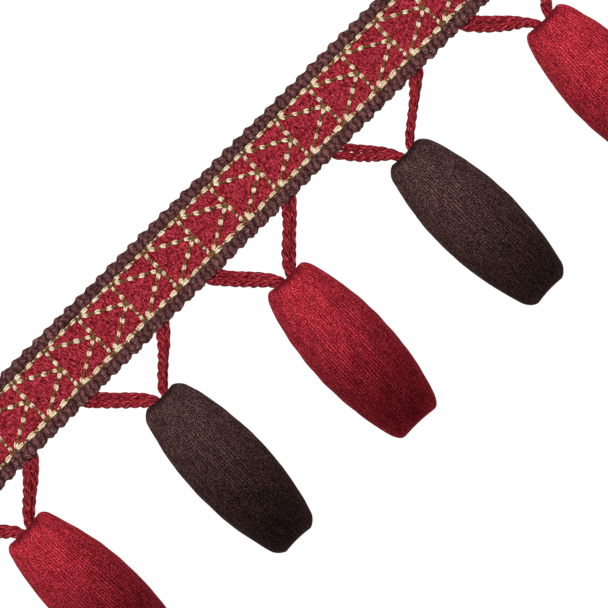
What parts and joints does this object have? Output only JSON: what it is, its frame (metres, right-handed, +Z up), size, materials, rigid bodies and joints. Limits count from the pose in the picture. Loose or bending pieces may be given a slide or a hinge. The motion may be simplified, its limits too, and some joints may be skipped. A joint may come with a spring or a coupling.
{
  "type": "cut length of beaded fringe trim",
  "caption": "Flat cut length of upholstery fringe: a woven braid with scalloped edges and a gold lattice, with thread-wound barrel beads hung on twisted cord loops.",
  "frame": {"origin": "middle of the footprint, on the surface that the trim lies on", "axes": "+X along the braid, -Y from the braid to the beads, +Z up out of the braid's face"},
  "size_m": [0.208, 0.077, 0.0199],
  "materials": {
    "crimson_ground": "dull woven yarn",
    "gold_thread": "pale metallic thread",
    "brown_gimp": "matt gimp yarn",
    "crimson_cord": "soft twisted cord",
    "crimson_bead": "wound thread with a slight sheen",
    "brown_bead": "wound thread with a slight sheen"
  },
  "bodies": {
    "root": {"braid_ground": "crimson_ground", "gold_lattice": "gold_thread", "edge_upper": "brown_gimp", "edge_lower": "brown_gimp", "hanger_1": "crimson_cord", "hanger_2": "crimson_cord", "hanger_3": "crimson_cord", "hanger_4": "crimson_cord", "hanger_5": "crimson_cord", "bead_1": "crimson_bead", "bead_2": "brown_bead", "bead_3": "crimson_bead", "bead_4": "brown_bead", "bead_5": "crimson_bead"}
  },
  "joints": []
}
